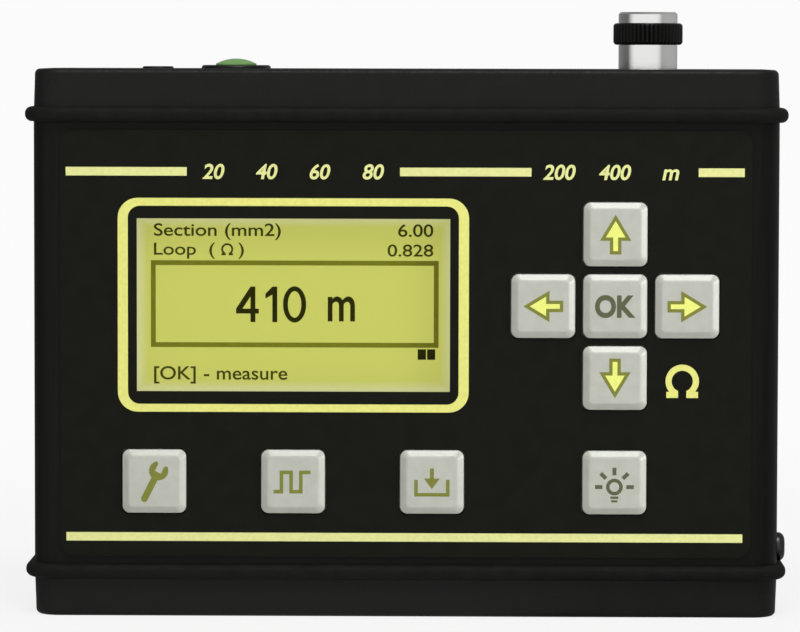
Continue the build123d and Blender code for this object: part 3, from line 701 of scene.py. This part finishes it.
def display_picture():
    """What the display shows: two rows of readings, the length in a box, a key hint and a cell."""
    dark = ink("lcd_dark", colour(44, 45, 6), specular=0.03)
    soft = ink("lcd_soft", colour(76, 78, 18), specular=0.03)
    olive = ink("lcd_line", colour(132, 134, 36), specular=0.03)
    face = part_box("display_glass")[0].y
    middle = middle_of("display_window")

    def put(name, loops, material):
        print_loops("lcd_" + name, moved(loops, *middle), face, material, "case")

    def write(name, words, box, material, bold=ROW_BOLD):
        place = shifted(box, *middle)
        print_text("lcd_" + name, words, place, face, material, "case", bold=bold)

    write("row_area", "Section (mm2)", AREA_BOX, soft)
    write("row_area_value", "6.00", AREA_VALUE_BOX, soft)
    write("row_loop", "Loop  (    )", LOOP_BOX, soft)
    put("row_loop_unit", ohm_loops(*LOOP_UNIT_PLACE, LOOP_UNIT_RADIUS, LOOP_UNIT_PEN), soft)
    write("row_loop_value", "0.828", LOOP_VALUE_BOX, soft)
    put("box", ring_loops(LENGTH_BOX, LENGTH_BOX_PEN, LENGTH_BOX_PEN), olive)
    put("reading_4", four_loops(*FOUR_BOX, READING_PEN), dark)
    put("reading_1", one_loops(*ONE_BOX, READING_PEN), dark)
    put("reading_0", zero_loops(*ZERO_BOX, READING_PEN), dark)
    write("reading_unit", "m", METRE_BOX, dark, bold=METRE_BOLD)
    put("cell", [box_loop(*box) for box in CELL_BOXES], dark)
    write("hint", "[OK] - measure", HINT_BOX, soft)


# Key signs, drawn about the middle of a key

def arrow_loop(stem, head, tail, neck, tip):
    """Arrow pointing up, drawn anticlockwise."""
    half = [(stem, tail), (stem, neck), (head, neck)]
    return half + [(0.0, tip)] + [(-x, z) for x, z in reversed(half)]


def spanner_loops():
    """Open-ended spanner, leaning to the right."""
    half = [(SPANNER_THROAT, SPANNER_HALF), (SPANNER_TIP, SPANNER_HALF)]
    half += arc(SPANNER_HEAD, 0, SPANNER_HEAD_RADIUS, *SPANNER_HEAD_ANGLES, SPANNER_HEAD_STEPS)
    half += [(SPANNER_NECK, SPANNER_HALF)]
    handle = arc(SPANNER_END, 0, SPANNER_HALF, 90, 270)
    loop = half + handle + [(x, -z) for x, z in reversed(half)]
    return moved([loop], *SPANNER_SHIFT, SPANNER_TURN)


def pulse_loops():
    """Two square pulses."""
    line = []
    height = -PULSE_HALF
    for start, end in zip(PULSE_STEPS, PULSE_STEPS[1:]):
        line += [(start, height), (end, height)]
        height = -height
    return [stroke_loop(line, SIGN_PEN)]


def store_loops():
    """Tray with an arrow into it."""
    line = [(-TRAY_HALF, TRAY_TOP), (-TRAY_HALF, TRAY_BOTTOM)]
    line += [(TRAY_HALF, TRAY_BOTTOM), (TRAY_HALF, TRAY_TOP)]
    return [stroke_loop(line, SIGN_PEN)] + moved([arrow_loop(*STORE_ARROW)], 0, 0, turn=180)


def lamp_loops():
    """Bulb on its base, with rays round its upper half."""
    loops = [circle_loop(0, BULB_HEIGHT, radius) for radius in BULB_RADII]
    loops += [box_loop(*box) for box in BULB_BASE]
    ray = stroke_loop([(RAY_START, 0), (RAY_END, 0)], RAY_PEN)
    for angle in RAY_ANGLES:
        loops += moved([ray], 0, BULB_HEIGHT, angle)
    return loops


def key_signs():
    """Arrows, OK and four signs, each riding on its key."""
    yellow = ink("ink_arrow", colour(238, 243, 128))
    olive = ink("ink_olive", colour(124, 128, 48))
    grey = ink("ink_grey", colour(90, 93, 66))

    def put(key, part, loops, material, turn=0.0):
        places = moved(loops, *middle_of(key), turn)
        print_loops(key + part, places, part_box(key)[0].y, material, key)

    outer = arrow_loop(*KEY_ARROW)
    inner = grown(outer, -KEY_ARROW_EDGE)
    for key, turn in (("key_up", 0), ("key_left", 90), ("key_down", 180), ("key_right", 270)):
        put(key, "_sign_edge", [outer, inner], olive, turn)
        put(key, "_sign", [inner], yellow, turn)
    put("key_trace", "_sign", spanner_loops(), olive)
    put("key_mode", "_sign", pulse_loops(), olive)
    put("key_memory", "_sign", store_loops(), olive)
    put("key_light", "_sign", lamp_loops(), grey)
    box = shifted(OK_BOX, *middle_of("key_ok"))
    print_text("key_ok_sign", "OK", box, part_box("key_ok")[0].y, grey, "key_ok", bold=OK_BOLD)


# Power button

def power_spring(material):
    """Coil spring under the button, in place of the power_spring node."""
    low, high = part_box("power_spring")
    middle, height = (low + high) / 2, high.z - low.z
    wire = SPRING_WIRE * MM
    radius = (high.x - low.x) / 2 - wire
    curve = bpy.data.curves.new("spring", "CURVE")
    curve.dimensions = "3D"
    curve.bevel_depth = wire
    curve.use_fill_caps = True
    spline = curve.splines.new("POLY")
    steps = SPRING_TURNS * SPRING_TURN_STEPS
    spline.points.add(steps)
    for index, point in enumerate(spline.points):
        angle = math.tau * index / SPRING_TURN_STEPS
        climb = low.z + wire + (height - 2 * wire) * index / steps
        point.co = (middle.x + radius * math.cos(angle), middle.y + radius * math.sin(angle), climb, 1)
    mesh = mesh_of(curve, "power_spring_coil")
    piece = add_piece("power_spring_coil", mesh, material, "case")
    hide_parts("power_spring")
    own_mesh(piece)


# Finishes of the CAD nodes

def finishes():
    """One material for each slot of the record, with linear colours for the bare metals."""
    low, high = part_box("display_glass")
    middle = (low + high) / 2
    window_low, window_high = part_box("display_window")
    half = (window_high - window_low) / 2 - Vector((WINDOW_BORDER, 0, WINDOW_BORDER)) * MM
    return {
        "case_black": case_black(),
        "cap_black": cap_black(),
        "seal_rubber": seal_rubber(),
        "overlay_film": overlay_film(),
        "key_grey": key_grey(),
        "button_green": button_green(),
        "socket_chrome": socket_chrome(),
        "display_glass": display_glow_with_painted_bleed(middle, half.x, half.z),
        "clear_window": clear_window(),
        "screw_steel": plain("screw_steel", (0.5, 0.5, 0.49), 0.35, metallic=1.0, size=0.6),
        "black_steel": plain("black_steel", (0.05, 0.05, 0.05), 0.35, metallic=1.0, size=0.6),
        "gasket_foam": plain("gasket_foam", colour(18, 18, 18), 0.9, size=0.5, depth=0.05),
        "frame_steel": plain("frame_steel", colour(24, 24, 24), 0.5),
        "backlight_white": plain("backlight_white", colour(235, 235, 225), 0.5),
        "board_green": plain("board_green", colour(22, 84, 44), 0.4, size=3.0, depth=0.03),
        "spacer_nylon": plain("spacer_nylon", colour(225, 224, 214), 0.45),
        "switch_black": plain("switch_black", colour(26, 26, 26), 0.5),
        "relay_white": plain("relay_white", colour(214, 214, 208), 0.35),
        "cell_jacket": plain("cell_jacket", colour(40, 110, 62), 0.3),
        "contact_nickel": plain("contact_nickel", (0.62, 0.6, 0.55), 0.3, metallic=1.0),
        "contact_gold": plain("contact_gold", (0.8, 0.58, 0.24), 0.25, metallic=1.0),
        "ring_black": plain("ring_black", colour(14, 14, 13), 0.4, size=1.0, depth=0.02, specular=0.12),
        "bezel_black": plain("bezel_black", colour(15, 15, 15), 0.35, specular=0.25),
        "plunger_white": plain("plunger_white", colour(222, 222, 212), 0.45),
    }


def dress_nodes(materials):
    for row in frame["record"]["subparts"]:
        mesh = frame["nodes"][row["node"]].data
        mesh.materials.clear()
        mesh.materials.append(materials[row["material_slot"]])


def front_nodes():
    """Nodes on the front that the side lamp lights."""
    rows = frame["record"]["subparts"]
    return [frame["nodes"][row["node"]] for row in rows if row["material_slot"] in FRONT_SLOTS]


# Studio

def white_to_eye(owner):
    """Factor that is 1 for rays from the camera, from reflections and through glass."""
    path = add_node(owner, "ShaderNodeLightPath")
    seen = larger(owner, path.outputs["Is Camera Ray"], path.outputs["Is Glossy Ray"])
    return larger(owner, seen, path.outputs["Is Transmission Ray"])


def mirrored_light(owner, direction):
    """What reflections show: white in front of the object, greyer beside and behind it."""
    across = add_node(owner, "ShaderNodeVectorMath", "DOT_PRODUCT")
    across.inputs[1].default_value = (1.0, 0.0, 0.0)
    left, right = MIRROR_LEFT_SHARE * WHITE, MIRROR_RIGHT_SHARE * WHITE
    sides = add_node(owner, "ShaderNodeMapRange", From_Min=-1.0, To_Min=left, To_Max=right)
    ahead = add_node(owner, "ShaderNodeVectorMath", "DOT_PRODUCT")
    ahead.inputs[1].default_value = MIRROR_FRONT
    low, high = MIRROR_EDGE
    front = add_node(owner, "ShaderNodeMapRange", From_Min=low, From_Max=high, To_Max=WHITE)
    front.interpolation_type = "SMOOTHSTEP"
    for dot, spread in ((across, sides), (ahead, front)):
        link(owner, direction, dot.inputs[0])
        link(owner, dot.outputs["Value"], spread.inputs["Value"])
    return larger(owner, sides.outputs["Result"], front.outputs["Result"])


def seen_light(owner, direction):
    """Strength of the background: white to the camera, and as mirrored_light says in reflections."""
    path = add_node(owner, "ShaderNodeLightPath")
    level = add_node(owner, "ShaderNodeMix", A=WHITE)
    link(owner, path.outputs["Is Glossy Ray"], level.inputs["Factor"])
    link(owner, mirrored_light(owner, direction), level.inputs["B"])
    return level.outputs["Result"]


def make_world():
    """Even fill on the surfaces, white to the eye."""
    world = bpy.data.worlds.new("studio")
    world.use_nodes = True
    bpy.context.scene.world = world
    nodes = world.node_tree.nodes
    dim = nodes["Background"]
    dim.inputs["Color"].default_value = (1, 1, 1, 1)
    dim.inputs["Strength"].default_value = FILL
    bright = add_node(world, "ShaderNodeBackground", Color=(1, 1, 1, 1))
    view = add_node(world, "ShaderNodeTexCoord")
    link(world, seen_light(world, view.outputs["Generated"]), bright.inputs["Strength"])
    mix = add_node(world, "ShaderNodeMixShader")
    link(world, white_to_eye(world), mix.inputs["Fac"])
    link(world, dim.outputs["Background"], mix.inputs[1])
    link(world, bright.outputs["Background"], mix.inputs[2])
    link(world, mix.outputs["Shader"], nodes["World Output"].inputs["Surface"])


def make_floor():
    """Wide pale floor: it keeps the shadow near the object and turns white further out."""
    mesh = bpy.data.meshes.new("floor")
    angles = [math.tau * index / FLOOR_SIDES for index in range(FLOOR_SIDES)]
    rim = [(FLOOR_RADIUS * math.cos(angle), FLOOR_RADIUS * math.sin(angle), 0) for angle in angles]
    mesh.from_pydata(rim, [], [list(range(FLOOR_SIDES))])
    floor = bpy.data.objects.new("floor", mesh)
    bpy.context.scene.collection.objects.link(floor)
    material = new_material("floor", FLOOR_GREY, roughness=0.9, specular=0.0)
    mesh.materials.append(material)
    glow = add_node(material, "ShaderNodeEmission")
    place = add_node(material, "ShaderNodeTexCoord")
    direction = add_node(material, "ShaderNodeVectorMath", "NORMALIZE")
    reach = add_node(material, "ShaderNodeVectorMath", "LENGTH")
    share = add_node(material, "ShaderNodeMapRange", From_Min=FLOOR_NEAR, From_Max=FLOOR_FAR)
    share.inputs["To Min"].default_value = FLOOR_NEAR_SHARE
    seen = add_node(material, "ShaderNodeMath", "MULTIPLY")
    mix = add_node(material, "ShaderNodeMixShader")
    link(material, place.outputs["Object"], direction.inputs[0])
    link(material, seen_light(material, direction.outputs["Vector"]), glow.inputs["Strength"])
    link(material, place.outputs["Object"], reach.inputs[0])
    link(material, reach.outputs["Value"], share.inputs["Value"])
    link(material, share.outputs["Result"], seen.inputs[0])
    link(material, white_to_eye(material), seen.inputs[1])
    link(material, seen.outputs["Value"], mix.inputs["Fac"])
    link(material, shader_of(material).outputs["BSDF"], mix.inputs[1])
    link(material, glow.outputs["Emission"], mix.inputs[2])
    link(material, mix.outputs["Shader"], material.node_tree.nodes["Material Output"].inputs["Surface"])


def soft_light(name, place, size, power, only=()):
    """Square area light aimed at the middle of the object, where given on some of its pieces only."""
    light = bpy.data.lights.new(name, "AREA")
    light.size = size
    light.energy = power
    holder = bpy.data.objects.new(name, light)
    bpy.context.scene.collection.objects.link(holder)
    middle = (cad_low + cad_high) / 2
    holder.location = place
    holder.rotation_euler = (middle - Vector(place)).to_track_quat("-Z", "Y").to_euler()
    if only:
        lit = bpy.data.collections.new(name + "_lit")
        for item in only:
            lit.objects.link(item)
        holder.light_linking.receiver_collection = lit


def make_camera():
    """Camera that looks from where the photograph was taken."""
    camera = bpy.data.cameras.new("camera")
    camera.sensor_width = SENSOR_WIDTH
    camera.lens = FOCAL_PIXELS / IMAGE_WIDTH * SENSOR_WIDTH
    camera.clip_start = CLIP_START
    camera.clip_end = CLIP_END
    holder = bpy.data.objects.new("camera", camera)
    bpy.context.scene.collection.objects.link(holder)
    pitch, yaw = math.radians(CAMERA_PITCH), math.radians(CAMERA_YAW)
    level = math.cos(pitch)
    forward = Vector((math.sin(yaw) * level, math.cos(yaw) * level, -math.sin(pitch)))
    holder.location = Vector(CAMERA_PLACE) * MM
    roll = Quaternion((0, 0, 1), math.radians(CAMERA_ROLL))
    holder.rotation_euler = (forward.to_track_quat("-Z", "Y") @ roll).to_euler()
    bpy.context.scene.camera = holder


materials = finishes()
dress_nodes(materials)
front_print()
display_picture()
key_signs()
power_spring(materials["screw_steel"])

bpy.context.scene.view_settings.view_transform = "Standard"
make_world()
make_floor()
soft_light("top_lamp", TOP_LAMP_PLACE, TOP_LAMP_SIZE, TOP_LAMP_POWER)
soft_light("side_lamp", SIDE_LAMP_PLACE, SIDE_LAMP_SIZE, SIDE_LAMP_POWER, only=front_nodes() + pieces)
make_camera()
